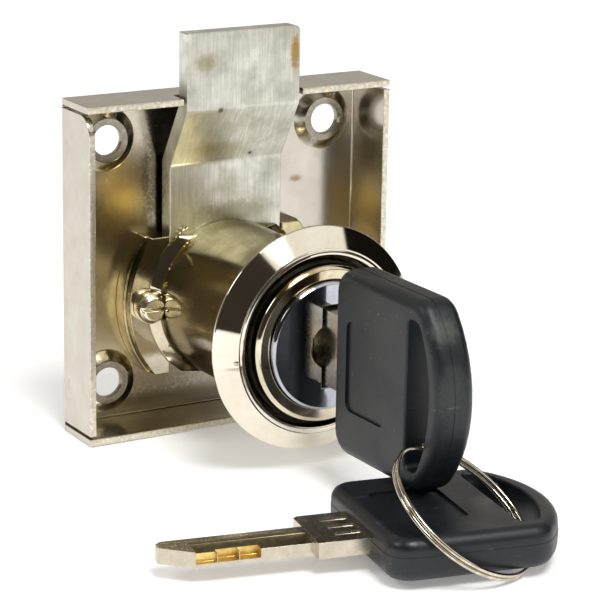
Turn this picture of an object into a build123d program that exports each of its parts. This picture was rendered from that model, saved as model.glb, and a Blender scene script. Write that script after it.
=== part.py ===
from build123d import *
import os
from math import atan2, cos, hypot, radians, sin, sqrt, tan

# Drawer lock with a square pan case, a round barrel, a thrown bolt, its key and a spare on a ring.
# Millimetres. Origin on the barrel axis in the plane of the case rim, +Y into the case,
# -Y along the barrel towards the key, +Z the way the bolt is thrown.

# Driving dimensions of the case
CASE = 41.0
CASE_DEPTH = 8.0
SHEET = 0.8
AXIS_UP = 15.2
BEND = 1.0
CORNER_GAP = 0.35
FLANGE_CORNER_R = 2.4
HOLE_SPACING = 30.0
HOLE_R = 1.85
DIMPLE_R = 3.9
DIMPLE_RISE = 0.85
NOTCH_W = 16.2
NOTCH_D = 3.1

# Driving dimensions of the cylinder body
BARREL_R = 9.6
NOSE_R = 9.3
NOSE_Y = -20.0
DRUM_BACK_R = 13.5
DRUM_FRONT_R = 13.2
DRUM_FRONT_Y = 4.0
DRUM_STEP_Y = 5.2
WING_TOP_Z = 8.3
WING_BOTTOM_Z = -8.9
STEP_R = 10.8
BORE_R = 7.05
HEAD_BORE_R = 7.68
GROOVE_R = 8.3
RIVET_X = 10.8
RIVET_R = 1.2
RIVET_HEAD_R = 1.95
RIVET_RISE = 2.0

# Driving dimensions of the bolt and its drive
BOLT_W = 15.4
BOLT_T = 2.1
BOLT_THROW = 7.7
BOLT_FRONT_Y = 4.3
BOLT_JOGGLE = 4.2
BOLT_BOTTOM_Z = -2.1
LOWER_BEND_Z = 16.8
UPPER_BEND_Z = 24.1
PIN_R = 1.5

# Driving dimensions of the plug and its wafers
PLUG_R = 7.0
PLUG_FACE_Y = -20.8
HEAD_BACK_Y = -19.1
WAFERS = 5
WAFER_PITCH = 2.4
WAFER_W = 8.6
WAFER_T = 1.0
WAFER_DROP = 0.6
LUG_X = 5.85
SPRING_X = 5.15
CLIP_Y = 2.9
CLIP_T = 0.8
CLIP_R = 8.0
CLIP_SEAT_R = 6.2

# Driving dimensions of the key
KEY_BASE_Y = -25.0
BLADE_L = 22.3
BLADE_T = 1.8
BLADE_TOP = 3.1
BLADE_BOTTOM = -1.2
TIP_L = 3.3
SHOULDER_L = 5.9
SHOULDER_HALF = 4.5
KEYWAY_HALF = 4.9
CUT_DEPTHS = (0.7, 1.3, 1.3)
TANG_L = 8.0
TANG_W = 7.0
BOW_L = 22.0
BOW_W = 21.8
BOW_T = 4.8
BOW_END_R = 15.3
BOW_CORNER_R = 3.0
BOW_BASE_R = 2.9
BOW_EDGE_R = 1.5
SLOT_INNER = 15.2
SLOT_OUTER = 19.6
SLOT_ARCH_R = 17.0
SLOT_HALF = 8.5

# Driving dimensions of the key ring, and where it and the spare key lie
RING_R = 9.0
WIRE_R = 0.25
STRAND_OFFSET = 0.27
RING_START = 105.0
RING_CENTRE = (-0.95, -49.9, -10.52)
RING_AZIMUTH = -54.2
RING_ELEVATION = 51.4
SPARE_BASE = (-10.17, -43.43, -13.41)
SPARE_YAW = -11.9
SPARE_RISE = 0.3
SPARE_ROLL = -1.4

PLATE_Y = CASE_DEPTH - SHEET
CASE_BOTTOM = -AXIS_UP
CASE_TOP = CASE - AXIS_UP
CASE_MID = (CASE_TOP + CASE_BOTTOM) / 2
PIN_THROW = BOLT_THROW / 2


def bar(radius, y0, y1, x=0.0, z=0.0):
    """Round bar along Y."""
    return Pos(x, (y0 + y1) / 2, z) * Rot(90, 0, 0) * Cylinder(radius, abs(y1 - y0))


def block(x0, x1, y0, y1, z0, z1):
    """Square-edged block between two corners."""
    return Pos((x0 + x1) / 2, (y0 + y1) / 2, (z0 + z1) / 2) * Box(x1 - x0, y1 - y0, z1 - z0)


def turned(points):
    """Solid turned about the barrel axis from (radius, y) points."""
    return revolve(make_face(Polyline(*points, close=True)), Axis.Y, 360)


def hole_places():
    """Centres (x, z) of the four screw holes."""
    half = HOLE_SPACING / 2
    return [(sx * half, CASE_MID + sz * half) for sx in (-1, 1) for sz in (-1, 1)]


# Case: one stamped pan, four flanges, dished screw holes and a notch for the bolt
def case_plate():
    pan = block(-CASE / 2, CASE / 2, 0, CASE_DEPTH, CASE_BOTTOM, CASE_TOP)
    pan = fillet(pan.faces().sort_by(Axis.Y)[-1].edges(), BEND)
    wall = CASE / 2 - SHEET
    hollow = block(-wall, wall, -1, PLATE_Y, CASE_BOTTOM + SHEET, CASE_TOP - SHEET)
    pan -= fillet(hollow.faces().sort_by(Axis.Y)[-1].edges(), BEND - SHEET)
    for side in (-1, 1):
        x0, x1 = sorted((side * wall, side * (CASE / 2 + 1)))
        for z0 in (CASE_TOP - SHEET - CORNER_GAP, CASE_BOTTOM + SHEET):
            pan -= block(x0, x1, -1, CASE_DEPTH - BEND, z0, z0 + CORNER_GAP)
    rim_z = CASE_TOP - SHEET - CORNER_GAP
    corners = pan.edges().filter_by(Axis.X).filter_by_position(Axis.Z, rim_z - 0.01, rim_z + 0.01)
    pan = fillet([e for e in corners if e.center().X < 0 and e.center().Y < 0.01], FLANGE_CORNER_R)
    notch = block(-NOTCH_W / 2, NOTCH_W / 2, -1, NOTCH_D, CASE_TOP - 2 * SHEET, CASE_TOP + 1)
    pan -= fillet(notch.edges().filter_by(Axis.Z).group_by(Axis.Y)[-1], 0.8)
    land_y = PLATE_Y - DIMPLE_RISE
    dimple = turned([
        (DIMPLE_R, PLATE_Y),
        (DIMPLE_R, CASE_DEPTH),
        (DIMPLE_R - 0.45, CASE_DEPTH),
        (HOLE_R + 0.45, land_y + SHEET),
        (HOLE_R, land_y + SHEET),
        (HOLE_R, land_y),
        (HOLE_R + 0.85, land_y),
    ])
    for x, z in hole_places():
        pan -= bar(DIMPLE_R, PLATE_Y - 1, CASE_DEPTH + 1, x, z)
        pan += Pos(x, 0, z) * dimple
    for side in (-1, 1):
        pan -= bar(RIVET_R + 0.05, PLATE_Y - 1, CASE_DEPTH + 1, side * RIVET_X)
    return pan


# Cylinder body: die-cast barrel and drum, cut across behind the barrel for the bolt
def cylinder_body():
    body = turned([
        (0, PLATE_Y),
        (DRUM_BACK_R, PLATE_Y),
        (DRUM_BACK_R, DRUM_STEP_Y),
        (DRUM_FRONT_R, DRUM_STEP_Y),
        (DRUM_FRONT_R, DRUM_FRONT_Y),
        (STEP_R, DRUM_FRONT_Y),
        (BARREL_R, DRUM_FRONT_Y - 1.0),
        (BARREL_R, NOSE_Y + 1.5),
        (NOSE_R, NOSE_Y + 1.5),
        (NOSE_R, NOSE_Y + 0.4),
        (NOSE_R - 0.4, NOSE_Y),
        (0, NOSE_Y),
    ])
    wings = block(-15, 15, DRUM_FRONT_Y - 1.0, CASE_DEPTH, WING_BOTTOM_Z, WING_TOP_Z)
    body -= block(-15, 15, DRUM_FRONT_Y - 1.0, CASE_DEPTH, -15, 15) - wings - bar(BARREL_R, 0, CASE_DEPTH)
    half = BOLT_W / 2 + 0.1
    channel_y = BOLT_FRONT_Y - 0.1
    channel = block(-half, half, DRUM_FRONT_Y - 0.05, PLATE_Y + 1, -DRUM_BACK_R - 1, DRUM_BACK_R + 1)
    body -= channel - bar(STEP_R, DRUM_FRONT_Y - 1, channel_y)
    body -= bar(BORE_R, NOSE_Y - 1, channel_y + 1)
    body -= bar(HEAD_BORE_R, NOSE_Y - 1, HEAD_BACK_Y + 0.05)
    body -= bar(CLIP_R + 0.1, CLIP_Y - 0.05, channel_y + 1)
    slope = BOLT_JOGGLE / (UPPER_BEND_Z - LOWER_BEND_Z)
    bend_z = LOWER_BEND_Z - BOLT_THROW
    relief = make_face(Polyline(
        (0, BOLT_FRONT_Y, bend_z - 0.35),
        (0, BOLT_FRONT_Y - 4 * slope, bend_z + 3.65),
        (0, BOLT_FRONT_Y, bend_z + 3.65),
        close=True,
    ))
    body -= extrude(relief, half, dir=(1, 0, 0), both=True)
    groove = block(-WAFER_W / 2 - 0.15, WAFER_W / 2 + 0.15, NOSE_Y + 1.8, 1.2, -9, 9)
    body -= groove & bar(GROOVE_R, NOSE_Y, DRUM_FRONT_Y)
    for side in (-1, 1):
        body -= bar(RIVET_HEAD_R + 0.05, DRUM_FRONT_Y - RIVET_RISE - 0.1, DRUM_FRONT_Y, side * RIVET_X)
        body -= bar(RIVET_R + 0.05, 1.0, PLATE_Y + 1, side * RIVET_X)
    return body


# Rivet: shouldered post through the drum wing and the plate, headed over behind
def rivet(side):
    head_y = DRUM_FRONT_Y - RIVET_RISE
    back = CASE_DEPTH
    post = turned([
        (0, head_y),
        (RIVET_HEAD_R - 0.6, head_y),
        (RIVET_HEAD_R, head_y + 0.7),
        (RIVET_HEAD_R, DRUM_FRONT_Y),
        (RIVET_R, DRUM_FRONT_Y),
        (RIVET_R, back),
        (RIVET_R + 0.9, back),
        (RIVET_R + 0.3, back + 0.6),
        (0, back + 0.6),
    ])
    post -= block(-RIVET_HEAD_R, RIVET_HEAD_R, head_y - 1, head_y + 0.35, -0.15, 0.15)
    return Pos(side * RIVET_X, 0, 0) * post


# Trim ring: dished and rolled sheet ring with a collar that grips the barrel
def trim_ring():
    collar_r = BARREL_R
    section = make_face(Polyline(
        (13.4, -16.6),
        (13.4, -17.05),
        (10.95, -18.93),
        (10.2, -18.93),
        (10.2, -17.6),
        (collar_r, -17.6),
        (collar_r, -14.4),
        (collar_r + 0.5, -14.4),
        (collar_r + 0.5, -17.1),
        (10.75, -17.1),
        (10.75, -18.1),
        (12.8, -16.6),
        close=True,
    ))
    return revolve(section, Axis.Y, 360)


def keyway_mouth(y0, y1):
    """Opening for the shoulder of the key, with the round pilot hole across it."""
    slot = block(-1.2, 1.2, y0, y1, -KEYWAY_HALF, KEYWAY_HALF)
    return slot + bar(2.65, y0, y1)


def wafer_y(index):
    """Middle of a wafer, counted from the front."""
    return KEY_BASE_Y + SHOULDER_L + 1.8 + index * WAFER_PITCH


# Plug: turned core with the keyway, the wafer slots, a clip groove and an eccentric drive pin
def plug():
    back = BOLT_FRONT_Y - 0.2
    core = turned([
        (0, PLUG_FACE_Y + 0.3),
        (HEAD_BORE_R - 0.4, PLUG_FACE_Y + 0.3),
        (HEAD_BORE_R - 0.4, HEAD_BACK_Y),
        (PLUG_R, HEAD_BACK_Y),
        (PLUG_R, CLIP_Y - 0.02),
        (CLIP_SEAT_R - 0.05, CLIP_Y - 0.02),
        (CLIP_SEAT_R - 0.05, CLIP_Y + CLIP_T + 0.02),
        (PLUG_R, CLIP_Y + CLIP_T + 0.02),
        (PLUG_R, back),
        (0, back),
    ])
    core -= keyway_mouth(PLUG_FACE_Y - 1, HEAD_BACK_Y + 0.02)
    core -= bar(2.65, HEAD_BACK_Y - 1, HEAD_BACK_Y + 0.7)
    side = BLADE_T / 2 + 0.1
    core -= block(-side, side, HEAD_BACK_Y - 1, KEY_BASE_Y + BLADE_L + 0.4, BLADE_BOTTOM - 0.12, BLADE_TOP + 0.12)
    for index in range(WAFERS):
        y = wafer_y(index)
        half = WAFER_T / 2 + 0.05
        core -= block(-WAFER_W / 2 - 0.05, WAFER_W / 2 + 0.05, y - half, y + half, -PLUG_R - 1, PLUG_R + 1)
        core -= block(WAFER_W / 2 - 0.1, LUG_X + 0.1, y - half, y + half, -2.3, -0.5)
        core -= block(SPRING_X - 0.75, SPRING_X + 0.75, y - 0.75, y + 0.75, -2.3, 3.0)
    return core + bar(PIN_R, back - 0.5, PLATE_Y - 0.2, 0, PIN_THROW)


# Plug cap: thin bright pressing over the plug head, pierced for the key
def plug_cap():
    inner_r = HEAD_BORE_R - 0.38
    outer_r = HEAD_BORE_R - 0.08
    cap = turned([
        (0, PLUG_FACE_Y),
        (outer_r - 0.25, PLUG_FACE_Y),
        (outer_r, PLUG_FACE_Y + 0.25),
        (outer_r, HEAD_BACK_Y),
        (inner_r, HEAD_BACK_Y),
        (inner_r, PLUG_FACE_Y + 0.28),
        (0, PLUG_FACE_Y + 0.28),
    ])
    return cap - keyway_mouth(PLUG_FACE_Y - 1, HEAD_BACK_Y)


# Plug clip: open spring ring that stops the plug being pulled out of the body
def plug_clip():
    ring = bar(CLIP_R, CLIP_Y, CLIP_Y + CLIP_T) - bar(CLIP_SEAT_R, CLIP_Y - 1, CLIP_Y + 2)
    return ring - block(-2.6, 2.6, CLIP_Y - 1, CLIP_Y + 2, -CLIP_R - 1, -3)


# Wafer: brass plate with a window for the blade and a lug that its spring pushes down
def wafer(index):
    y = wafer_y(index)
    y0 = y - WAFER_T / 2
    y1 = y + WAFER_T / 2
    plate = block(-WAFER_W / 2, WAFER_W / 2, y0, y1, -8, 8) & bar(PLUG_R - 0.05, y0, y1)
    side = BLADE_T / 2 + 0.25
    plate -= block(-side, side, y0 - 1, y1 + 1, BLADE_BOTTOM - 0.2, BLADE_TOP + WAFER_DROP + 0.1)
    return plate + block(WAFER_W / 2 - 0.5, LUG_X, y0, y1, -1.5, -0.6)


# Wafer spring: small open coil between the lug and the roof of its pocket, in straight steps
def wafer_spring(index):
    wire_t = 0.2
    coil_r = 0.52
    steps = 6
    turns = 5
    low = -0.6 + wire_t
    rise = 3.0 - 2 * wire_t + 0.6
    points = []
    for step in range(steps * turns + 1):
        angle = radians(360 * step / steps)
        points.append((coil_r * cos(angle), coil_r * sin(angle), low + rise * step / (steps * turns)))
    path = Polyline(*points)
    wire = sweep(Plane(origin=path @ 0, z_dir=path % 0) * Rectangle(wire_t, wire_t), path, transition=Transition.RIGHT)
    return Pos(SPRING_X, wafer_y(index), 0) * wire


# Bolt: flat bar with a joggle, and a cross slot for the drive pin
def bolt():
    lean = atan2(BOLT_JOGGLE, UPPER_BEND_Z - LOWER_BEND_Z)
    shift = BOLT_T * tan(lean / 2)
    top = CASE_TOP + BOLT_THROW
    front = BOLT_FRONT_Y
    proud = BOLT_FRONT_Y - BOLT_JOGGLE
    profile = Polyline(
        (0, front, BOLT_BOTTOM_Z),
        (0, front, LOWER_BEND_Z),
        (0, proud, UPPER_BEND_Z),
        (0, proud, top),
        (0, proud + BOLT_T, top),
        (0, proud + BOLT_T, UPPER_BEND_Z + shift),
        (0, front + BOLT_T, LOWER_BEND_Z + shift),
        (0, front + BOLT_T, BOLT_BOTTOM_Z),
        close=True,
    )
    bar_solid = extrude(make_face(profile), BOLT_W / 2, dir=(1, 0, 0), both=True)
    bends = bar_solid.edges().filter_by(Axis.X)
    bends = [e for e in bends if LOWER_BEND_Z - 0.1 < e.center().Z < UPPER_BEND_Z + shift + 0.1]
    bar_solid = fillet(bends, 1.3)
    corners = bar_solid.edges().filter_by(Axis.Y).group_by(Axis.Z)[-1]
    bar_solid = fillet(corners.sort_by(Axis.X)[-1], 0.9)
    reach = PIN_THROW + PIN_R + 0.25
    lift = PIN_R + 0.85
    slot = Rot(90, 0, 0) * SlotOverall(2 * reach, 2 * lift)
    cutter = extrude(Pos(0, front - 1, PIN_THROW) * slot, BOLT_T + 2, dir=(0, 1, 0))
    return bar_solid - cutter


# Key blade: side-milled flat key with a shoulder, drawn as it lies in the lock
def key_blade():
    half = BLADE_T / 2
    outline = Polyline(
        (0, 0, -SHOULDER_HALF),
        (0, SHOULDER_L - 0.5, -SHOULDER_HALF),
        (0, SHOULDER_L, -SHOULDER_HALF + 0.5),
        (0, SHOULDER_L, BLADE_BOTTOM),
        (0, BLADE_L - 0.7, BLADE_BOTTOM),
        (0, BLADE_L, BLADE_BOTTOM + 0.7),
        (0, BLADE_L, BLADE_BOTTOM + 1.8),
        (0, BLADE_L - TIP_L, BLADE_TOP),
        (0, SHOULDER_L, BLADE_TOP),
        (0, SHOULDER_L, SHOULDER_HALF),
        (0, 0, SHOULDER_HALF),
        close=True,
    )
    blade = extrude(make_face(outline), half, dir=(1, 0, 0), both=True)
    blade += block(-half, half, -TANG_L, 0.1, -TANG_W / 2, TANG_W / 2)
    ridge = BLADE_BOTTOM + 1.0
    blade -= block(half - 0.4, half + 1, SHOULDER_L, BLADE_L - TIP_L - 0.1, ridge, BLADE_TOP + 1)
    lip = -half + 0.45
    cut_start = BLADE_L - TIP_L - 0.1
    cut_l = 2.3
    for number, depth in enumerate(CUT_DEPTHS):
        y1 = cut_start - number * WAFER_PITCH
        blade -= block(lip, half + 1, y1 - cut_l, y1, BLADE_TOP - depth, BLADE_TOP + 1)
    for z in (-2.9, -0.6, 1.7):
        blade -= block(half - 0.3, half + 1, 0.3, 3.4, z, z + 0.9)
    return Pos(0, KEY_BASE_Y, 0) * blade


# Key bow: moulded grip with an arched end, a ring slot and a plain shallow dish on each face
def key_bow():
    half = BOW_W / 2
    arch_x = BOW_L - BOW_END_R
    corner_t = half - BOW_CORNER_R
    corner_x = arch_x + sqrt((BOW_END_R - BOW_CORNER_R) ** 2 - corner_t ** 2)
    lean = atan2(corner_t, corner_x - arch_x)
    meet_x = arch_x + BOW_END_R * cos(lean)
    meet_t = BOW_END_R * sin(lean)
    turn = (radians(90) + lean) / 2
    mid_x = corner_x + BOW_CORNER_R * cos(turn)
    mid_t = corner_t + BOW_CORNER_R * sin(turn)
    outline = [
        Line((0, -half), (corner_x, -half)),
        ThreePointArc((corner_x, -half), (mid_x, -mid_t), (meet_x, -meet_t)),
        ThreePointArc((meet_x, -meet_t), (BOW_L, 0), (meet_x, meet_t)),
        ThreePointArc((meet_x, meet_t), (mid_x, mid_t), (corner_x, half)),
        Line((corner_x, half), (0, half)),
        Line((0, half), (0, -half)),
    ]
    bow = extrude(make_face(outline), BOW_T / 2, both=True)
    bow = fillet(bow.edges().filter_by(Axis.Z).group_by(Axis.X)[0], BOW_BASE_R)
    bow = chamfer(bow.faces().filter_by(Axis.Z).edges(), BOW_EDGE_R * 0.6)
    bow -= extrude(slot_plan(), BOW_T, both=True)
    mouth = [e for e in bow.faces().filter_by(Axis.Z).edges() if inside_slot(e.center())]
    bow = chamfer(mouth, 0.3)
    dish = extrude(Pos(6.9, 0, BOW_T / 2) * RectangleRounded(8.0, 10.5, 1.0), 0.3, both=True)
    bow -= dish + mirror(dish, Plane.XY)
    bow = Pos(0, KEY_BASE_Y, 0) * Rot(0, 90, 0) * Rot(0, 0, -90) * bow
    half_t = BLADE_T / 2
    return bow - block(-half_t, half_t, KEY_BASE_Y - TANG_L, KEY_BASE_Y + 1, -TANG_W / 2, TANG_W / 2)


def slot_plan():
    """D-shaped slot for the ring: flat towards the blade, arched like the end of the bow."""
    arch = Pos(SLOT_OUTER - SLOT_ARCH_R, 0) * Circle(SLOT_ARCH_R)
    middle = (SLOT_INNER + SLOT_OUTER) / 2
    plan = arch & Pos(middle, 0) * Rectangle(SLOT_OUTER - SLOT_INNER, 2 * SLOT_HALF)
    return fillet(plan.vertices(), 0.8)


def inside_slot(point):
    """Whether a point lies on the rim of the ring slot rather than the rim of the bow."""
    in_arch = hypot(point.X - SLOT_OUTER + SLOT_ARCH_R, point.Y) < SLOT_ARCH_R + 0.3
    return point.X > SLOT_INNER - 0.3 and abs(point.Y) < SLOT_HALF + 0.3 and in_arch


def spare_place():
    """Where the spare key lies: local X is up, local -Y runs to the end of the bow."""
    yaw = radians(SPARE_YAW)
    rise = radians(SPARE_RISE)
    roll = radians(SPARE_ROLL)
    out = Vector(cos(yaw) * cos(rise), sin(yaw) * cos(rise), sin(rise))
    level = Vector(-sin(yaw), cos(yaw), 0)
    across = level * cos(roll) + out.cross(level) * sin(roll)
    up = out.cross(across)
    return Plane(origin=SPARE_BASE, x_dir=up, z_dir=-across).location * Pos(0, -KEY_BASE_Y, 0)


def on_ring(angle, offset):
    """Point of the wire's centre line, with the ring flat about the origin."""
    return (RING_R * cos(radians(angle)), RING_R * sin(radians(angle)), offset)


def along_ring(angle):
    return (-sin(radians(angle)), cos(radians(angle)), 0)


# Key ring: split ring of round wire, two flat turns joined by a short step
def key_ring():
    step_0 = RING_START + 325
    step_1 = RING_START + 355
    end = RING_START + 680
    low = -STRAND_OFFSET
    first = ThreePointArc(on_ring(RING_START, low), on_ring(RING_START + 160, low), on_ring(step_0, low))
    step = Spline(
        on_ring(step_0, low),
        on_ring(step_1, STRAND_OFFSET),
        tangents=(along_ring(step_0), along_ring(step_1)),
    )
    second = ThreePointArc(
        on_ring(step_1, STRAND_OFFSET), on_ring(step_1 + 160, STRAND_OFFSET), on_ring(end, STRAND_OFFSET))
    path = Wire([first, step, second])
    wire = sweep(Plane(origin=path @ 0, z_dir=path % 0) * RegularPolygon(WIRE_R, 6), path)
    azimuth = radians(RING_AZIMUTH)
    elevation = radians(RING_ELEVATION)
    normal = Vector(cos(elevation) * cos(azimuth), cos(elevation) * sin(azimuth), sin(elevation))
    level = Vector(-sin(azimuth), cos(azimuth), 0)
    return Plane(origin=RING_CENTRE, x_dir=level, z_dir=normal).location * wire


def build():
    """Every sub-part by its name."""
    parts = {
        "case_plate": case_plate(),
        "cylinder_body": cylinder_body(),
        "rivet_left": rivet(-1),
        "rivet_right": rivet(1),
        "trim_ring": trim_ring(),
        "plug": plug(),
        "plug_cap": plug_cap(),
        "plug_clip": plug_clip(),
        "bolt": bolt(),
        "key_blade": key_blade(),
        "key_bow": key_bow(),
    }
    for index in range(WAFERS):
        parts[f"wafer_{index + 1}"] = wafer(index)
        parts[f"wafer_spring_{index + 1}"] = wafer_spring(index)
    for name in ("key_blade", "key_bow"):
        parts["spare_" + name] = spare_place() * parts[name]
    parts["key_ring"] = key_ring()
    return parts


os.makedirs("parts", exist_ok=True)
for name, shape in build().items():
    export_step(shape, f"parts/{name}.step")
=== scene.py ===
import math

import bmesh
import bpy
from mathutils import Matrix, Vector


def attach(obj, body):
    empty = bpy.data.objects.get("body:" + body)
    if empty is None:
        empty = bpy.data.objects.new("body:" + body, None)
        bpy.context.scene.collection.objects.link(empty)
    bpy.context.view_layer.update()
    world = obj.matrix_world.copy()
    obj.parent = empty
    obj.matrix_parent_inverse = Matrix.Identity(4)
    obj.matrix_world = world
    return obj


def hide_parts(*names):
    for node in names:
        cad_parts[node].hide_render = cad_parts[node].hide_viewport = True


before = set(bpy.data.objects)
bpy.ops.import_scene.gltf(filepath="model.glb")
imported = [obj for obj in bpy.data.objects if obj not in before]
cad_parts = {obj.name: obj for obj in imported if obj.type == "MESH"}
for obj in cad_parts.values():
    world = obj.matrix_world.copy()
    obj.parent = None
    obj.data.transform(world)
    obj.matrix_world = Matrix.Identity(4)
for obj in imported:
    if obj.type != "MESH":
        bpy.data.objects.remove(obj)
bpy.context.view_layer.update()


# Camera
# A long lens a little above the lock, from its left, as the object was photographed.
camera_at = Vector((-0.14932, -0.26327, 0.08416))
look_right = Vector((0.8604, -0.5093, 0.0168)).normalized()
look_back = Vector((-0.4948, -0.8271, 0.2665)).normalized()
look_up = look_back.cross(look_right)
aim = Matrix((look_right, look_up, look_back)).transposed().to_4x4()
camera = bpy.data.cameras.new("camera")
camera.lens = 155.2
camera.sensor_width = 36.0
camera_object = bpy.data.objects.new("camera", camera)
bpy.context.scene.collection.objects.link(camera_object)
camera_object.matrix_world = Matrix.Translation(camera_at) @ aim
bpy.context.scene.camera = camera_object
bpy.context.scene.view_settings.view_transform = "Standard"


# Floor
# White paper sweep. The lock leans a little towards the key side, so the sheet is tilted under it
# by the 1.2 degrees between the back edge of the case and the spare key.
paper_size = 3.0
paper_slope = math.tan(math.radians(1.2))
case_back = 0.008
under_case = -0.01522


def linear(code):
    """A sRGB hex code as linear colour."""
    parts = [int(code[i : i + 2], 16) / 255 for i in (1, 3, 5)]
    return tuple(c / 12.92 if c <= 0.04045 else ((c + 0.055) / 1.055) ** 2.4 for c in parts) + (1.0,)


def add(tree, kind, inputs=None, **settings):
    """Adds a node. An input is given a value, or the output socket that feeds it."""
    made = tree.nodes.new(kind)
    for key, value in settings.items():
        setattr(made, key, value)
    for key, value in (inputs or {}).items():
        if isinstance(value, bpy.types.NodeSocket):
            tree.links.new(value, made.inputs[key])
        else:
            made.inputs[key].default_value = value
    return made


def new_material(name):
    """An empty node material and its tree."""
    material = bpy.data.materials.new(name)
    material.use_nodes = True
    material.node_tree.nodes.clear()
    return material, material.node_tree


bpy.ops.mesh.primitive_plane_add(size=paper_size)
floor = bpy.context.object
floor.name = "floor"
for corner in floor.data.vertices:
    corner.co.z = under_case + (corner.co.y - case_back) * paper_slope
# The paper glows a little for the camera, the metal and anything clear, so that it shows white
# and still holds the shadow of the lock.
paper, tree = new_material("white_paper_sweep")
lit = add(tree, "ShaderNodeBsdfDiffuse", {"Color": linear("#FFFFFF")})
glow = add(tree, "ShaderNodeEmission", {"Color": linear("#FFFFFF"), "Strength": 0.22})
both = add(tree, "ShaderNodeAddShader", {0: lit.outputs[0], 1: glow.outputs[0]})
path = add(tree, "ShaderNodeLightPath")
seen = path.outputs["Is Camera Ray"]
for ray in ("Is Glossy Ray", "Is Transmission Ray"):
    either = add(tree, "ShaderNodeMath", {0: seen, 1: path.outputs[ray]}, operation="MAXIMUM")
    seen = either.outputs[0]
shown = add(tree, "ShaderNodeMixShader", {0: seen, 1: lit.outputs[0], 2: both.outputs[0]})
add(tree, "ShaderNodeOutputMaterial", {"Surface": shown.outputs[0]})
floor.data.materials.append(paper)


# Light
# A large soft lamp in front and above, and a smaller one to the left. The metal reflects a dim
# room with one bright window, which gives the bright plating its dark and white bands.
pale_wall = ((0.30, 0.92, 0.25), "#BDB9B0", 0.20, 0.75)
dark_right = ((0.90, -0.15, 0.38), "#141210", 0.78, 0.92)
dark_front = ((-0.55, -0.75, 0.35), "#37322A", 0.72, 0.90)
window = ((0.342, -0.584, 0.736), "#FFFDF6", 0.855, 0.881)
# The numbers of a Mix node's colour sockets, which share their names with its other kinds.
under_in, over_in, mixed_out = 6, 7, 2
lit_point = Vector((0, -0.01, 0))

world = bpy.data.worlds.new("studio")
bpy.context.scene.world = world
world.use_nodes = True
tree = world.node_tree
tree.nodes.clear()
where = add(tree, "ShaderNodeTexCoord")
room = linear("#5A554C")
# Each part of the room fades in between two cosines of the angle from its own direction.
for direction, code, fades_from, full_from in (pale_wall, dark_right, dark_front, window):
    dot = add(
        tree,
        "ShaderNodeVectorMath",
        {0: where.outputs["Generated"], 1: Vector(direction).normalized()},
        operation="DOT_PRODUCT",
    )
    share = add(
        tree,
        "ShaderNodeMapRange",
        {"Value": dot.outputs["Value"], "From Min": fades_from, "From Max": full_from},
        interpolation_type="SMOOTHSTEP",
    )
    mixed = add(
        tree,
        "ShaderNodeMix",
        {"Factor": share.outputs[0], under_in: room, over_in: linear(code)},
        data_type="RGBA",
    )
    room = mixed.outputs[mixed_out]
path = add(tree, "ShaderNodeLightPath")
reflected = add(tree, "ShaderNodeBackground", {"Color": room, "Strength": 1.0})
fill = add(tree, "ShaderNodeBackground", {"Color": linear("#F4F2EE"), "Strength": 0.50})
white = add(tree, "ShaderNodeBackground", {"Color": linear("#FFFFFF"), "Strength": 1.0})
mix = add(
    tree,
    "ShaderNodeMixShader",
    {0: path.outputs["Is Glossy Ray"], 1: fill.outputs[0], 2: reflected.outputs[0]},
)
mix = add(
    tree,
    "ShaderNodeMixShader",
    {0: path.outputs["Is Camera Ray"], 1: mix.outputs[0], 2: white.outputs[0]},
)
add(tree, "ShaderNodeOutputWorld", {"Surface": mix.outputs[0]})

for name, place, size, power in (
    ("key_lamp", (-0.06, -0.50, 0.84), 0.38, 5.4),
    ("side_lamp", (-0.70, 0.10, 0.60), 0.35, 1.5),
):
    lamp = bpy.data.lights.new(name, "AREA")
    lamp.shape = "DISK"
    lamp.size = size
    lamp.energy = power
    holder = bpy.data.objects.new(name, lamp)
    bpy.context.scene.collection.objects.link(holder)
    holder.location = place
    holder.rotation_mode = "QUATERNION"
    holder.rotation_quaternion = (Vector(place) - lit_point).to_track_quat("Z", "Y")


# Case
# Square pan stamped from 0.8 mm steel strip: four flanges folded up, four screw holes dished by
# the same tool. It is barrel-plated with nickel, cloudy on the faces and thin on the sheared rim.
mm = 0.001
weld_within = 0.002
flat_within = 0.6
curve_below = 32
rim_depth = 0.12
hole_across = (-15.0, 15.0)
hole_up = (-9.7, 20.3)


def select_only(piece):
    """Selects one object and makes it the active one."""
    bpy.ops.object.select_all(action="DESELECT")
    piece.select_set(True)
    bpy.context.view_layer.objects.active = piece


def merged_copy(node, name):
    """A copy of a solid with its loose triangles joined and its flat faces whole again."""
    piece = bpy.data.objects.new(name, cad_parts[node].data.copy())
    bpy.context.scene.collection.objects.link(piece)
    piece.data.materials.clear()
    select_only(piece)
    bpy.ops.object.mode_set(mode="EDIT")
    bpy.ops.mesh.select_all(action="SELECT")
    bpy.ops.mesh.remove_doubles(threshold=weld_within * mm)
    bpy.ops.mesh.dissolve_limited(angle_limit=math.radians(flat_within))
    bpy.ops.object.mode_set(mode="OBJECT")
    return piece


def smooth(piece):
    """Shades curves smooth and keeps the flats flat."""
    select_only(piece)
    bpy.ops.object.shade_smooth_by_angle(angle=math.radians(curve_below))
    flats = piece.modifiers.new("flats", "WEIGHTED_NORMAL")
    flats.keep_sharp = True
    flats.weight = 100
    bpy.ops.object.modifier_apply(modifier=flats.name)


def ease_edges(piece, width, segments=2, sharper_than=30):
    """Rounds the sharp edges, as tumbling and plating leave them."""
    select_only(piece)
    soften = piece.modifiers.new("edges", "BEVEL")
    soften.width = width * mm
    soften.segments = segments
    soften.limit_method = "ANGLE"
    soften.angle_limit = math.radians(sharper_than)
    soften.use_clamp_overlap = False
    soften.miter_outer = "MITER_ARC"
    bpy.ops.object.modifier_apply(modifier=soften.name)
    smooth(piece)


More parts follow.
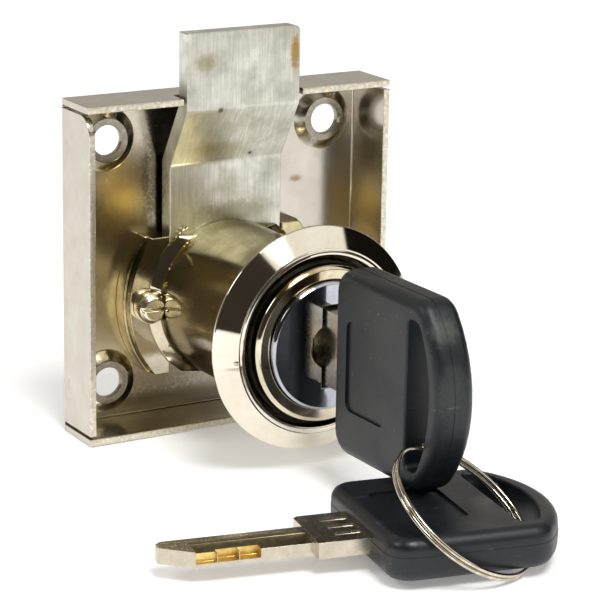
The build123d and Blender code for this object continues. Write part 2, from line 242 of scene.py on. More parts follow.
def plated(name, pale, dark, gloss, dull, cloud_size, pit_size, pit_depth):
    """Plated metal: cloudy where the bath ran thin, over the fine pits of the metal beneath. The
    sizes of cloud and pit, and the depth of a pit, are in millimetres."""
    material, tree = new_material(name)
    place = add(tree, "ShaderNodeTexCoord").outputs["Object"]
    cloud = add(
        tree,
        "ShaderNodeTexNoise",
        {"Vector": place, "Scale": 1000.0 / cloud_size, "Detail": 5.0, "Roughness": 0.62},
    )
    share = add(
        tree,
        "ShaderNodeMapRange",
        {"Value": cloud.outputs["Fac"], "From Min": 0.34, "From Max": 0.66},
    )
    colour = add(
        tree,
        "ShaderNodeMix",
        {"Factor": share.outputs[0], under_in: linear(dark), over_in: linear(pale)},
        data_type="RGBA",
    )
    rough = add(
        tree,
        "ShaderNodeMapRange",
        {
            "Value": cloud.outputs["Fac"],
            "From Min": 0.3,
            "From Max": 0.7,
            "To Min": dull,
            "To Max": gloss,
        },
    )
    pits = add(
        tree,
        "ShaderNodeTexNoise",
        {"Vector": place, "Scale": 1000.0 / pit_size, "Detail": 3.0, "Roughness": 0.55},
    )
    bump = add(
        tree,
        "ShaderNodeBump",
        {"Height": pits.outputs["Fac"], "Strength": 1.0, "Distance": pit_depth * mm},
    )
    shader = add(
        tree,
        "ShaderNodeBsdfPrincipled",
        {
            "Base Color": colour.outputs[mixed_out],
            "Metallic": 1.0,
            "Roughness": rough.outputs[0],
            "Normal": bump.outputs[0],
        },
    )
    add(tree, "ShaderNodeOutputMaterial", {"Surface": shader.outputs[0]})
    return material


def stain_or_painted_light(material, centre, reach, code, strength=1.0):
    """Lays a ragged patch over the base colour, for real stains and also for painted shade and
    painted highlights; centre and half-sizes in millimetres.
    """
    tree = material.node_tree
    shader = next(n for n in tree.nodes if n.type == "BSDF_PRINCIPLED")
    under = shader.inputs["Base Color"].links[0].from_socket
    place = add(tree, "ShaderNodeTexCoord").outputs["Object"]
    off = add(
        tree,
        "ShaderNodeVectorMath",
        {0: place, 1: [c * mm for c in centre]},
        operation="SUBTRACT",
    )
    scaled = add(
        tree,
        "ShaderNodeVectorMath",
        {0: off.outputs[0], 1: [1 / (r * mm) for r in reach]},
        operation="MULTIPLY",
    )
    far = add(tree, "ShaderNodeVectorMath", {0: scaled.outputs[0]}, operation="LENGTH")
    ragged = add(
        tree,
        "ShaderNodeTexNoise",
        {"Vector": place, "Scale": 1000.0 / (0.5 * min(reach)), "Detail": 5.0, "Roughness": 0.7},
    )
    # The noise is added to the distance, so the edge wanders in and out.
    ragged_reach = add(
        tree,
        "ShaderNodeMath",
        {0: ragged.outputs["Fac"], 1: 1.1, 2: far.outputs["Value"]},
        operation="MULTIPLY_ADD",
    )
    share = add(
        tree,
        "ShaderNodeMapRange",
        {"Value": ragged_reach.outputs[0], "From Min": 1.7, "From Max": 0.9, "To Max": strength},
        interpolation_type="SMOOTHSTEP",
    )
    over = add(
        tree,
        "ShaderNodeMix",
        {"Factor": share.outputs[0], under_in: under, over_in: linear(code)},
        data_type="RGBA",
    )
    tree.links.new(over.outputs[mixed_out], shader.inputs["Base Color"])


def finish_faces(piece, material, wanted):
    """Gives a finish to the faces that pass a test of their centre, in millimetres, and normal."""
    piece.data.materials.append(material)
    number = len(piece.data.materials) - 1
    for face in piece.data.polygons:
        if wanted(face.center / mm, face.normal):
            face.material_index = number


case = merged_copy("case_plate", "case_pan")
ease_edges(case, width=0.09)
# Satin nickel on cold-rolled strip: a soft mirror, cloudy over about 3 mm. The clouds are drawn
# coarser than life, to show at this size. Painted shade and painted highlights are laid over it.
satin_nickel = plated(
    "satin_nickel_plate_on_steel",
    pale="#CDC7BC",
    dark="#C3BCB0",
    gloss=0.17,
    dull=0.21,
    cloud_size=3.0,
    pit_size=0.30,
    pit_depth=0.0025,
)
# Painted highlight: a soft golden sheen over the inner left face, standing in for a reflection.
stain_or_painted_light(satin_nickel, (-13.5, 6.9, 4.0), (9.5, 0.75, 22.0), "#CDB77C", 0.6)
# Painted shade: a dark olive ring round each dished screw hole.
for x in hole_across:
    for z in hole_up:
        stain_or_painted_light(satin_nickel, (x, 6.0, z), (5.2, 1.6, 5.2), "#6A624C", 0.7)
# Painted highlight: a brighter golden patch in the upper left of the pan.
stain_or_painted_light(satin_nickel, (-13.2, 6.9, 12.5), (3.6, 0.75, 7.0), "#FFE39C", 0.95)
# Painted shade: a dark band beside the bolt, standing in for the bolt's dark reflection.
stain_or_painted_light(satin_nickel, (-8.3, 6.9, 15.5), (2.0, 0.75, 10.0), "#453B28", 0.85)
# Painted shade: darker olive-brown on the plate below the drum and along the bottom flange.
stain_or_painted_light(satin_nickel, (-8.8, 6.9, -10.5), (8.5, 0.75, 4.5), "#75674A", 0.8)
stain_or_painted_light(satin_nickel, (-2.0, 4.0, -14.1), (18.0, 4.5, 0.6), "#5E5239", 0.8)
stain_or_painted_light(satin_nickel, (11.5, 6.9, 12.9), (1.2, 0.75, 0.6), "#8A7053", 0.8)
# On the right flange: a painted golden highlight, and a painted shade band above it.
stain_or_painted_light(satin_nickel, (19.4, 3.5, 8.8), (0.65, 4.0, 5.0), "#FFE39C", 0.95)
stain_or_painted_light(satin_nickel, (19.4, 3.5, 17.5), (0.65, 4.0, 4.5), "#5C5036", 0.7)
case.data.materials.append(satin_nickel)
# The rim where the strip was sheared: paler and duller, and mottled over about 0.5 mm.
sheared_rim = plated(
    "sheared_steel_edge",
    pale="#EEE8D8",
    dark="#C6BDA6",
    gloss=0.24,
    dull=0.36,
    cloud_size=0.5,
    pit_size=0.18,
    pit_depth=0.004,
)
finish_faces(case, sheared_rim, lambda centre, normal: centre.y < rim_depth)
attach(case, "lock_body")
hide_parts("case_plate")


# Cylinder body
# Barrel and drum in one zinc die casting, nickel plated as cast. The plate is warm, with painted
# shade in the hollows, and the step and the nose were polished before plating.
nose_from = -19.3
gap_from = -17.3
step_inner = 9.7
step_outer = 10.75
step_front = 2.9
step_back = 4.05
flash_radius = 0.14
# Each bead of flash has a radius and a level in millimetres, and runs between two bearings.
barrel_flash = (9.66, 2.85, 126, 152)
drum_flash = (10.74, 3.9, 121, 137)


def polished(centre, normal):
    """Whether a face of the body is on the nose or on the step at the front of the drum."""
    across = math.hypot(centre.x, centre.z)
    on_step = step_inner < across < step_outer and step_front < centre.y < step_back
    return centre.y < nose_from or (on_step and abs(normal.y) > 0.2)


body = merged_copy("cylinder_body", "cast_body")
ease_edges(body, width=0.13, segments=3)
# Flash that the die left beside the bolt: at the foot of the barrel and along the drum.
for reach, level, start, stop in (barrel_flash, drum_flash):
    bead = bpy.data.curves.new("casting_flash", "CURVE")
    bead.dimensions = "3D"
    bead.bevel_depth = mm
    bead.bevel_resolution = 3
    bead.use_fill_caps = True
    line = bead.splines.new("POLY")
    line.points.add(stop - start)
    for index, point in enumerate(line.points):
        bearing = math.radians(start + index)
        waver = 0.07 * math.sin(1.9 * index) + 0.05 * math.sin(4.3 * index + 1.0)
        x = (reach + waver) * math.cos(bearing)
        z = (reach + waver) * math.sin(bearing)
        point.co = (x * mm, (level + 0.4 * waver) * mm, z * mm, 1.0)
        point.radius = flash_radius + 0.5 * waver
    flash = bpy.data.objects.new("casting_flash", bead)
    bpy.context.scene.collection.objects.link(flash)
    select_only(flash)
    bpy.ops.object.convert(target="MESH")
    flash = bpy.context.object
    bpy.ops.object.shade_smooth_by_angle(angle=math.radians(60))
    select_only(body)
    flash.select_set(True)
    bpy.ops.object.join()
# Nickel on a zinc casting: glossier than on the sheet, olive-gold, with flow clouds of 4 mm.
cast_nickel = plated(
    "nickel_plate_on_zinc_casting",
    pale="#E4D9B2",
    dark="#B8AB80",
    gloss=0.12,
    dull=0.22,
    cloud_size=4.0,
    pit_size=0.45,
    pit_depth=0.005,
)
# Painted shade: darker over the lower left of the barrel and the drum.
stain_or_painted_light(cast_nickel, (-9.0, -3.0, -3.5), (6.0, 9.0, 7.0), "#6B604C", 0.8)
# Painted highlight: a golden patch over the flash and the ledge at the foot of the barrel.
stain_or_painted_light(cast_nickel, (-6.8, 3.2, 7.4), (2.2, 1.2, 1.8), "#DCC27A", 0.9)
# Painted shade on the front face of the drum: dark above the stud, less dark below it.
stain_or_painted_light(cast_nickel, (-11.5, 4.5, 4.5), (4.0, 2.0, 5.5), "#4E4431", 0.9)
stain_or_painted_light(cast_nickel, (-10.5, 4.5, -6.5), (4.5, 2.0, 5.0), "#7C6C4D", 0.8)
body.data.materials.append(cast_nickel)
# The polished faces: nearly a mirror, pale gold.
polished_nickel = plated(
    "polished_nickel_on_zinc_casting",
    pale="#E4DAC4",
    dark="#CFC3A8",
    gloss=0.06,
    dull=0.12,
    cloud_size=2.5,
    pit_size=0.40,
    pit_depth=0.002,
)
stain_or_painted_light(polished_nickel, (-4.5, -19.8, 8.0), (5.0, 1.5, 2.5), "#AD8B58", 0.8)
finish_faces(body, polished_nickel, polished)
# Painted shade down in the gap behind the lip: the nose wall there is coloured dark, for the
# shadow in the gap.
painted_gap_shade = plated(
    "nickel_with_painted_gap_shade",
    pale="#3A352C",
    dark="#211E19",
    gloss=0.30,
    dull=0.45,
    cloud_size=1.0,
    pit_size=0.30,
    pit_depth=0.004,
)
finish_faces(body, painted_gap_shade, lambda centre, normal: nose_from <= centre.y < gap_from)
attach(body, "lock_body")
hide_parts("cylinder_body")


# Rivets
# Two posts turned from steel rod, with slotted domed heads. They pass through the ears of the
# drum and are riveted over behind the pan, which holds the casting to it.
sides = ("left", "right")
# Nickel over the marks of turning: bright, and mottled over about 0.9 mm.
bright_rivet = plated(
    "nickel_plate_on_turned_steel",
    pale="#FFF6DC",
    dark="#E6DABA",
    gloss=0.20,
    dull=0.30,
    cloud_size=0.9,
    pit_size=0.25,
    pit_depth=0.004,
)
for side in sides:
    post = merged_copy("rivet_" + side, "rivet_post_" + side)
    ease_edges(post, width=0.16, segments=3)
    post.data.materials.append(bright_rivet)
    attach(post, "lock_body")
    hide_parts("rivet_" + side)


# Trim ring
# Bezel spun from brass sheet: a sloping band, a beaded lip and a collar that grips the barrel.
# It is polished and bright nickel plated, so it shows the room almost as a mirror does.
bore_radius = 10.20
bore_front = -18.60
bore_back = -17.60
collar_radius = 9.62
collar_back = -14.40
bezel_steps = 144
bezel_seam = 0.001
# The section all round, as radius and place along the barrel.
outer_edge = [(13.32, -16.62), (13.40, -16.75), (13.40, -17.00), (13.30, -17.13)]
lip_bead = [(11.05, -18.86), (10.92, -18.80), (10.80, -18.86), (10.62, -18.93), (10.38, -18.93)]
bore = [(10.22, -18.82), (bore_radius, bore_front), (bore_radius, bore_back)]
collar = [(collar_radius, bore_back), (collar_radius, collar_back), (10.08, collar_back)]
rear = [(10.10, -17.08), (10.75, -17.10), (10.75, -18.10), (12.80, -16.62)]
bezel_section = outer_edge + lip_bead + bore + collar + rear


def pick(piece, kind, wanted):
    """Selects the vertices, edges or faces that pass a test, and nothing else, in edit mode."""
    select_only(piece)
    bpy.ops.object.mode_set(mode="EDIT")
    bpy.ops.mesh.select_mode(type=kind)
    bpy.ops.mesh.select_all(action="DESELECT")
    shape = bmesh.from_edit_mesh(piece.data)
    for item in {"VERT": shape.verts, "EDGE": shape.edges, "FACE": shape.faces}[kind]:
        if wanted(item):
            item.select_set(True)
    shape.select_flush_mode()
    bmesh.update_edit_mesh(piece.data)


def down_in_bore(centre, normal):
    """Whether a face of the bezel is on the inner wall, behind the lip."""
    at_wall = math.hypot(centre.x, centre.z) < bore_radius + 0.015
    return at_wall and bore_front - 0.02 < centre.y < bore_back + 0.1


bpy.ops.object.select_all(action="DESELECT")
bpy.ops.mesh.primitive_circle_add(vertices=len(bezel_section))
bezel = bpy.context.object
bezel.name = "bezel"
for vertex, (radius, y) in zip(bezel.data.vertices, bezel_section):
    vertex.co = (radius * mm, y * mm, 0)
pick(bezel, "VERT", lambda vertex: True)
bpy.ops.mesh.spin(steps=bezel_steps, angle=math.radians(360), center=(0, 0, 0), axis=(0, 1, 0))
bpy.ops.mesh.select_all(action="SELECT")
bpy.ops.mesh.remove_doubles(threshold=bezel_seam * mm)
bpy.ops.mesh.normals_make_consistent(inside=False)
bpy.ops.object.mode_set(mode="OBJECT")
ease_edges(bezel, width=0.07, segments=3, sharper_than=28)
# Bright nickel: nearly a mirror, left very faintly uneven over about 1 mm by the polishing mop.
bright_nickel = plated(
    "bright_nickel_on_spun_brass",
    pale="#F1EADC",
    dark="#E3DAC8",
    gloss=0.03,
    dull=0.07,
    cloud_size=5.0,
    pit_size=1.2,
    pit_depth=0.0015,
)
bezel.data.materials.append(bright_nickel)
# Painted shade for the gap on the bezel's inner wall, behind its lip.
finish_faces(bezel, painted_gap_shade, down_in_bore)
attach(bezel, "lock_body")
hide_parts("trim_ring")


# Plug and its cap
# The turning core is a small zinc casting. A cap pressed from thin sheet is closed over its head
# and pierced for the key. It is bright nickel, and shows the black grip of the key.
def dress(node, material):
    """Gives a solid that stays as it is its finish."""
    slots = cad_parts[node].data.materials
    slots.clear()
    slots.append(material)


thin_nickel = plated(
    "nickel_flash_on_zinc_core",
    pale="#B3AC9A",
    dark="#857C69",
    gloss=0.22,
    dull=0.38,
    cloud_size=1.6,
    pit_size=0.30,
    pit_depth=0.008,
)
dress("plug", thin_nickel)
cap = merged_copy("plug_cap", "core_cap")
ease_edges(cap, width=0.07, segments=3)
# Bright nickel over pressed steel: a cool mirror, with a brown smear beside the keyway.
mirror_nickel = plated(
    "bright_nickel_on_thin_steel",
    pale="#BCC0C8",
    dark="#A6AAB3",
    gloss=0.035,
    dull=0.08,
    cloud_size=2.2,
    pit_size=0.8,
    pit_depth=0.0015,
)
stain_or_painted_light(mirror_nickel, (-2.4, -20.8, 0.5), (1.3, 1.0, 3.6), "#B8A684", 0.7)
cap.data.materials.append(mirror_nickel)
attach(cap, "plug")
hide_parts("plug_cap")


# Clip, wafers and springs
# Inside the body: a clip blanked from spring strip, five wafers blanked from brass strip, and five
# coils of hard-drawn wire.
oiled_strip = plated(
    "oiled_spring_strip",
    pale="#8E9097",
    dark="#5E6067",
    gloss=0.28,
    dull=0.42,
    cloud_size=1.2,
    pit_size=0.25,
    pit_depth=0.004,
)
dress("plug_clip", oiled_strip)
blanked_brass = plated(
    "blanked_brass_strip",
    pale="#D9B564",
    dark="#B08A3E",
    gloss=0.20,
    dull=0.34,
    cloud_size=1.4,
    pit_size=0.22,
    pit_depth=0.004,
)
hard_wire = plated(
    "hard_drawn_spring_wire",
    pale="#B4B6BA",
    dark="#8B8D92",
    gloss=0.18,
    dull=0.30,
    cloud_size=0.6,
    pit_size=0.12,
    pit_depth=0.002,
)
for number in range(1, 6):
    dress(f"wafer_{number}", blanked_brass)
    dress(f"wafer_spring_{number}", hard_wire)


# Bolt
# Flat bar cut from rolled strip and set forward by a joggle, so that it clears the rim of the
# case. It was belt-ground along its length and zinc plated: grey-green, with oil and rust stains.
bolt = merged_copy("bolt", "throw_bolt")
ease_edges(bolt, width=0.16, segments=3)
ground_zinc = plated(
    "zinc_plate_on_ground_steel",
    pale="#EAE9E0",
    dark="#CAC8B9",
    gloss=0.26,
    dull=0.42,
    cloud_size=3.5,
    pit_size=0.35,
    pit_depth=0.004,
)
tree = ground_zinc.node_tree
shader = next(n for n in tree.nodes if n.type == "BSDF_PRINCIPLED")
place = add(tree, "ShaderNodeTexCoord").outputs["Object"]
# Zinc on ground steel is a soft, greenish grey. Belt lines run up the bar: 0.25 mm apart here, a
# few times coarser than the grit, so they show.
drawn = add(tree, "ShaderNodeMapping", {"Vector": place, "Scale": (4000.0, 700.0, 170.0)})
lines = add(
    tree,
    "ShaderNodeTexNoise",
    {"Vector": drawn.outputs[0], "Scale": 1.0, "Detail": 4.0, "Roughness": 0.6},
)
share = add(
    tree,
    "ShaderNodeMapRange",
    {"Value": lines.outputs["Fac"], "From Min": 0.36, "From Max": 0.64, "To Max": 0.42},
)
under = shader.inputs["Base Color"].links[0].from_socket
lined = add(
    tree,
    "ShaderNodeMix",
    {"Factor": share.outputs[0], under_in: under, over_in: linear("#A6A69A")},
    data_type="RGBA",
)
tree.links.new(lined.outputs[mixed_out], shader.inputs["Base Color"])
pitted = shader.inputs["Normal"].links[0].from_socket
bump = add(
    tree,
    "ShaderNodeBump",
    {"Height": lines.outputs["Fac"], "Strength": 1.0, "Distance": 0.006 * mm, "Normal": pitted},
)
tree.links.new(bump.outputs[0], shader.inputs["Normal"])
stain_or_painted_light(ground_zinc, (7.0, 0.0, 30.2), (0.8, 3.0, 2.8), "#A8833B", 0.9)
stain_or_painted_light(ground_zinc, (-5.2, 0.1, 29.9), (1.7, 2.0, 1.2), "#9A9062", 0.65)
stain_or_painted_light(ground_zinc, (-2.2, 1.5, 18.6), (4.6, 3.0, 1.5), "#B3A572", 0.7)
stain_or_painted_light(ground_zinc, (1.5, 4.2, 10.5), (6.0, 2.0, 1.6), "#9A977C", 0.7)
stain_or_painted_light(ground_zinc, (-3.1, 0.0, 24.0), (0.45, 2.0, 0.4), "#5E5A4F", 0.9)
stain_or_painted_light(ground_zinc, (3.0, 3.4, 17.6), (0.35, 1.5, 0.3), "#3E3B35", 0.9)
bolt.data.materials.append(ground_zinc)
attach(bolt, "bolt")
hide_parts("bolt")


# Key blades
# Stamped from 1.8 mm brass, milled along one side and plated, then cut to the code, which bares
# the brass. The shoulder carries three shallow coined recesses.
grip_at = -25.0
groove_from = 5.9
groove_to = 19.0
groove_left = 0.4
groove_right = 0.56
cuts_from = 11.7
cuts_to = 18.95
cuts_low = 1.65
cuts_high = 2.9
cuts_left = -0.48
cuts_right = 0.55


def in_cuts(centre, normal):
    """Whether a face of the blade is in one of the cuts of the code."""
    along = cuts_from < centre.y - grip_at < cuts_to
    return along and cuts_low < centre.z < cuts_high and cuts_left < centre.x < cuts_right


def in_groove(centre, normal):
    """Whether a face of the blade is on the floor of the groove along its milled side."""
    along = groove_from < centre.y - grip_at < groove_to
    return along and groove_left < centre.x < groove_right and normal.x > 0.8


# The plate is smooth and warm. The cut faces are plain yellow brass, matt from the milling
# cutter, and the floor of the groove has tarnished brown.
plated_blade = plated(
    "nickel_plate_on_brass_blade",
    pale="#D2C9B8",
    dark="#C4BAA6",
    gloss=0.22,
    dull=0.30,
    cloud_size=1.6,
    pit_size=0.30,
    pit_depth=0.002,
)
milled_brass = plated(
    "bare_milled_brass",
    pale="#F2DA94",
    dark="#DDBB6C",
    gloss=0.26,
    dull=0.38,
    cloud_size=0.8,
    pit_size=0.20,
    pit_depth=0.006,
)
milled_side = plated(
    "milled_side_of_brass_blade",
    pale="#8E855F",
    dark="#5F573A",
    gloss=0.26,
    dull=0.38,
    cloud_size=1.2,
    pit_size=0.25,
    pit_depth=0.003,
)
blade = merged_copy("key_blade", "blade_in_lock")
ease_edges(blade, width=0.035)
blade.data.materials.append(plated_blade)
finish_faces(blade, milled_brass, in_cuts)
finish_faces(blade, milled_side, in_groove)
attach(blade, "key")
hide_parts("key_blade")


# Key grips
# Moulded over the tang in black ABS. The mould's two halves meet in a low rib round the edge, the
# ring slot has eased lips, and each face has a plain shallow recess.
grip_length = 22.0
grip_width = 21.8
grip_thick = 4.8
face_z = grip_thick / 2
end_radius = 15.3
back_corner = 2.85
front_corner = 1.23
rim_round = 1.35
rib_inset = 0.05
rib_height = 0.045
rib_half = 0.45
slot_from = 15.2
slot_to = 19.6
slot_half = 8.5
slot_arch = 17.0
slot_corner = 0.8
slot_lip = 0.3
slot_room = 0.3
slot_cutter_z = 6.0
recess_from = 2.9
recess_to = 10.9
recess_half = 5.25
recess_depth = 0.3
recess_corner = 1.0
recess_cutter_z = 3.0
near = 0.05
level_within = 0.01
round_steps = 7


def arched_plan(back, front, half, arch, steps):
    """Corners of a plan with a straight back, and a front on an arc of the radius arch."""
    spread = math.asin(half / arch)
    plan = [(back, -half)]
    for step in range(steps + 1):
        angle = spread * (2 * step / steps - 1)
        plan.append((front - arch + arch * math.cos(angle), arch * math.sin(angle)))
    plan.append((back, half))
    return plan


def outline(name, points, corners):
    """A flat face through points in millimetres; corners maps the number of a point that is
    rounded off to its reach."""
    bpy.ops.object.select_all(action="DESELECT")
    bpy.ops.mesh.primitive_circle_add(vertices=len(points), fill_type="NGON")
    piece = bpy.context.object
    piece.name = name
    for vertex, (x, y) in zip(piece.data.vertices, points):
        vertex.co = (x * mm, y * mm, 0)
    for number, reach in corners.items():
        x, y = points[number]
        pick(piece, "VERT", lambda v: math.hypot(v.co.x / mm - x, v.co.y / mm - y) < near)
        bpy.ops.mesh.bevel(
            offset=reach * mm, segments=round_steps, affect="VERTICES", clamp_overlap=False
        )
        bpy.ops.object.mode_set(mode="OBJECT")
    return piece


def thicken(piece, low, high):
    """Draws a flat outline out to a solid between two levels."""
    pick(piece, "FACE", lambda face: True)
    bpy.ops.transform.translate(value=(0, 0, low * mm))
    bpy.ops.mesh.extrude_region_move(TRANSFORM_OT_translate={"value": (0, 0, (high - low) * mm)})
    bpy.ops.mesh.select_all(action="SELECT")
    bpy.ops.mesh.normals_make_consistent(inside=False)
    bpy.ops.object.mode_set(mode="OBJECT")


def cut(piece, cutter):
    """Takes a cutter's shape out of a piece."""
    select_only(piece)
    taking = piece.modifiers.new("cut", "BOOLEAN")
    taking.operation = "DIFFERENCE"
    taking.solver = "EXACT"
    taking.object = cutter
    bpy.ops.object.modifier_apply(modifier=taking.name)
    bpy.data.objects.remove(cutter, do_unlink=True)


def on_rim(edge):
    """Whether an edge runs round a face of the grip, and not through its thickness."""
    return abs(edge.verts[0].co.z - edge.verts[1].co.z) < level_within * mm


def on_lip(edge):
    """Whether an edge is the sharp lip of the ring slot, on either face."""
    ends = [vertex.co / mm for vertex in edge.verts]
    at_face = all(abs(abs(end.z) - face_z) < level_within for end in ends)
    at_slot = all(end.x > slot_from - near for end in ends)
    return at_face and at_slot and edge.calc_face_angle(0.0) > 1.0


def on_side(face):
    """Whether a face lies in the middle band of the outer side."""
    centre = face.calc_center_median() / mm
    from_arch = math.hypot(centre.x - slot_to + slot_arch, centre.y)
    at_slot = centre.x > slot_from - slot_room and abs(centre.y) < slot_half + slot_room
    in_slot = at_slot and from_arch < slot_arch + slot_room
    return abs(centre.z) < rib_half and abs(face.normal.z) < 0.3 and not in_slot


plan = arched_plan(
    0.0, grip_length - rib_inset, grip_width / 2 - rib_inset, end_radius, steps=14
)
grip = outline(
    "grip_in_lock",
    plan,
    {0: back_corner, -1: back_corner, 1: front_corner, -2: front_corner},
)
thicken(grip, -face_z, face_z)
pick(grip, "EDGE", on_rim)
bpy.ops.mesh.bevel(
    offset=rim_round * mm, segments=round_steps, affect="EDGES", clamp_overlap=False
)
bpy.ops.object.mode_set(mode="OBJECT")

# One cutter takes out the ring slot, right through, and a recess in each face.
plan = arched_plan(slot_from, slot_to, slot_half, slot_arch, steps=16)
cutter = outline("slot_cutter", plan, dict.fromkeys((0, -1, 1, -2), slot_corner))
thicken(cutter, -slot_cutter_z, slot_cutter_z)
recess_plan = [
    (recess_from, -recess_half),
    (recess_to, -recess_half),
    (recess_to, recess_half),
    (recess_from, recess_half),
]
recess_floor = face_z - recess_depth
recess_cutters = []
for low, high in ((recess_floor, recess_cutter_z), (-recess_cutter_z, -recess_floor)):
    recess_cutter = outline("recess_cutter", recess_plan, dict.fromkeys(range(4), recess_corner))
    thicken(recess_cutter, low, high)
    recess_cutters.append(recess_cutter)
select_only(cutter)
for recess_cutter in recess_cutters:
    recess_cutter.select_set(True)
bpy.ops.object.join()
cut(grip, cutter)

pick(grip, "EDGE", on_lip)
bpy.ops.mesh.bevel(
    offset=slot_lip * mm, segments=3, affect="EDGES", clamp_overlap=False, loop_slide=False
)
for level in (-rib_half, rib_half):
    bpy.ops.mesh.select_all(action="SELECT")
    bpy.ops.mesh.bisect(plane_co=(0, 0, level * mm), plane_no=(0, 0, 1))
bpy.ops.object.mode_set(mode="OBJECT")
pick(grip, "FACE", on_side)
bpy.ops.mesh.extrude_region_shrink_fatten(TRANSFORM_OT_shrink_fatten={"value": rib_height * mm})
bpy.ops.object.mode_set(mode="OBJECT")
smooth(grip)
# Laid on edge in the lock: its length runs out towards the user, its width up and down.
to_lock = Matrix(((0, 0, 1, 0), (-1, 0, 0, grip_at * mm), (0, -1, 0, 0), (0, 0, 0, 1)))
grip.data.transform(to_lock)

# Black ABS from a spark-eroded mould: satin, with a grain of about 0.3 mm, faintly patchy, with a
# few fine scuffs. The grain is drawn coarser than life, to show at this size.
abs_plastic, tree = new_material("satin_black_abs_moulding")
place = add(tree, "ShaderNodeTexCoord").outputs["Object"]
patch = add(
    tree,
    "ShaderNodeTexNoise",
    {"Vector": place, "Scale": 160.0, "Detail": 4.0, "Roughness": 0.6},
)
tint = add(
    tree,
    "ShaderNodeMix",
    {"Factor": patch.outputs["Fac"], under_in: linear("#090C10"), over_in: linear("#141A21")},
    data_type="RGBA",
)
drawn = add(
    tree,
    "ShaderNodeMapping",
    {"Vector": place, "Rotation": (0.6, 0.3, 0.9), "Scale": (260.0, 1900.0, 1900.0)},
)
scratch = add(tree, "ShaderNodeTexNoise", {"Vector": drawn.outputs[0], "Scale": 1.0, "Detail": 2.0})
scuffed = add(
    tree,
    "ShaderNodeMapRange",
    {"Value": scratch.outputs["Fac"], "From Min": 0.66, "From Max": 0.78, "To Max": 0.5},
)
tint = add(
    tree,
    "ShaderNodeMix",
    {
        "Factor": scuffed.outputs[0],
        under_in: tint.outputs[mixed_out],
        over_in: linear("#585B5F"),
    },
    data_type="RGBA",
)
rough = add(
    tree,
    "ShaderNodeMapRange",
    {"Value": patch.outputs["Fac"], "From Min": 0.3, "From Max": 0.7, "To Min": 0.34, "To Max": 0.50},
)
grain = add(
    tree,
    "ShaderNodeTexNoise",
    {"Vector": place, "Scale": 3300.0, "Detail": 2.0, "Roughness": 0.5},
)
bump = add(
    tree,
    "ShaderNodeBump",
    {"Height": grain.outputs["Fac"], "Strength": 1.0, "Distance": 0.012 * mm},
)
shader = add(
    tree,
    "ShaderNodeBsdfPrincipled",
    {
        "Base Color": tint.outputs[mixed_out],
        "Metallic": 0.0,
        "Roughness": rough.outputs[0],
        "IOR": 1.53,
        "Normal": bump.outputs[0],
    },
)
add(tree, "ShaderNodeOutputMaterial", {"Surface": shader.outputs[0]})
# Rubbed grey where the thumb and the pocket reach it: the outer corners of the key in the lock.
stain_or_painted_light(abs_plastic, (-0.8, -45.2, 8.9), (2.6, 1.8, 2.6), "#63665F", 0.5)
stain_or_painted_light(abs_plastic, (-0.8, -46.6, 3.0), (2.6, 0.6, 4.5), "#4C4F4B", 0.4)
grip.data.materials.append(abs_plastic)
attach(grip, "key")
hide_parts("key_bow")


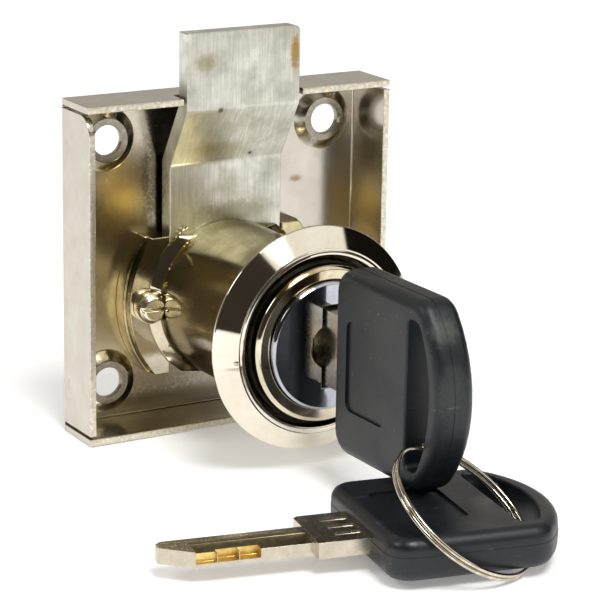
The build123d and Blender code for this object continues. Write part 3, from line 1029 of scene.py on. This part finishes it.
# Spare key
# The same blade and grip again, lying on the paper with the milled side up. The length of the key
# is turned by yaw, lifted by rise at the grip and rolled a little about itself.
spare_at = Vector((-10.17, -43.43, -13.41))
yaw = math.radians(-11.9)
rise = math.radians(0.3)
roll = math.radians(-1.4)
length_way = Vector((math.cos(yaw) * math.cos(rise), math.sin(yaw) * math.cos(rise), math.sin(rise)))
level_way = Vector((-math.sin(yaw), math.cos(yaw), 0.0))
width_way = level_way * math.cos(roll) + length_way.cross(level_way) * math.sin(roll)
upper_way = length_way.cross(width_way)
lie = Matrix((upper_way, -length_way, -width_way)).transposed().to_4x4()
lie = Matrix.Translation(spare_at * mm) @ lie @ Matrix.Translation((0, -grip_at * mm, 0))
for piece, name, node, finish in (
    (blade, "spare_blade", "spare_key_blade", "blade_nickel"),
    (grip, "spare_grip", "spare_key_bow", "grip_plastic"),
):
    copy = bpy.data.objects.new(name, piece.data.copy())
    bpy.context.scene.collection.objects.link(copy)
    copy.data.transform(lie)
    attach(copy, "spare_key")
    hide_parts(node)


# Key ring
# Split ring coiled from 0.5 mm spring wire, bright plated: nearly two turns side by side, joined
# by a short step, with cropped ends.
ring_centre = Vector((-0.95, -49.9, -10.52))
ring_radius = 8.985
wire_radius = 0.245
half_pitch = 0.27
azimuth = math.radians(-54.2)
elevation = math.radians(51.4)
# In degrees round the ring: the start and sweep of the wire, the step between its points, and
# where it crosses from one turn to the other.
wire_start = 105
wire_sweep = 680
wire_step = 4
crossing_from = 430
crossing_sweep = 30

ring_axis = Vector(
    (
        math.cos(elevation) * math.cos(azimuth),
        math.cos(elevation) * math.sin(azimuth),
        math.sin(elevation),
    )
)
level_way = Vector((-math.sin(azimuth), math.cos(azimuth), 0.0))
steep_way = ring_axis.cross(level_way)
wire = bpy.data.curves.new("split_ring", "CURVE")
wire.dimensions = "3D"
wire.bevel_depth = wire_radius * mm
wire.bevel_resolution = 5
wire.use_fill_caps = True
turns = wire.splines.new("POLY")
turns.points.add(wire_sweep // wire_step)
for index, point in enumerate(turns.points):
    angle = wire_start + wire_step * index
    crossed = min(max((angle - crossing_from) / crossing_sweep, 0.0), 1.0)
    crossed = crossed * crossed * (3 - 2 * crossed)
    bearing = math.radians(angle)
    outward = level_way * math.cos(bearing) + steep_way * math.sin(bearing)
    spot = ring_centre + outward * ring_radius
    spot += ring_axis * (half_pitch * (2 * crossed - 1))
    point.co = tuple(spot * mm) + (1.0,)
ring = bpy.data.objects.new("split_ring", wire)
bpy.context.scene.collection.objects.link(ring)
select_only(ring)
bpy.ops.object.convert(target="MESH")
ring = bpy.context.object
bpy.ops.object.shade_smooth_by_angle(angle=math.radians(curve_below))
# Bright nickel on drawn wire, a little scuffed by the keys.
bright_wire = plated(
    "bright_nickel_on_spring_wire",
    pale="#E2DACA",
    dark="#B9AF98",
    gloss=0.08,
    dull=0.18,
    cloud_size=1.2,
    pit_size=0.30,
    pit_depth=0.002,
)
ring.data.materials.append(bright_wire)
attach(ring, "key_ring")
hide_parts("key_ring")
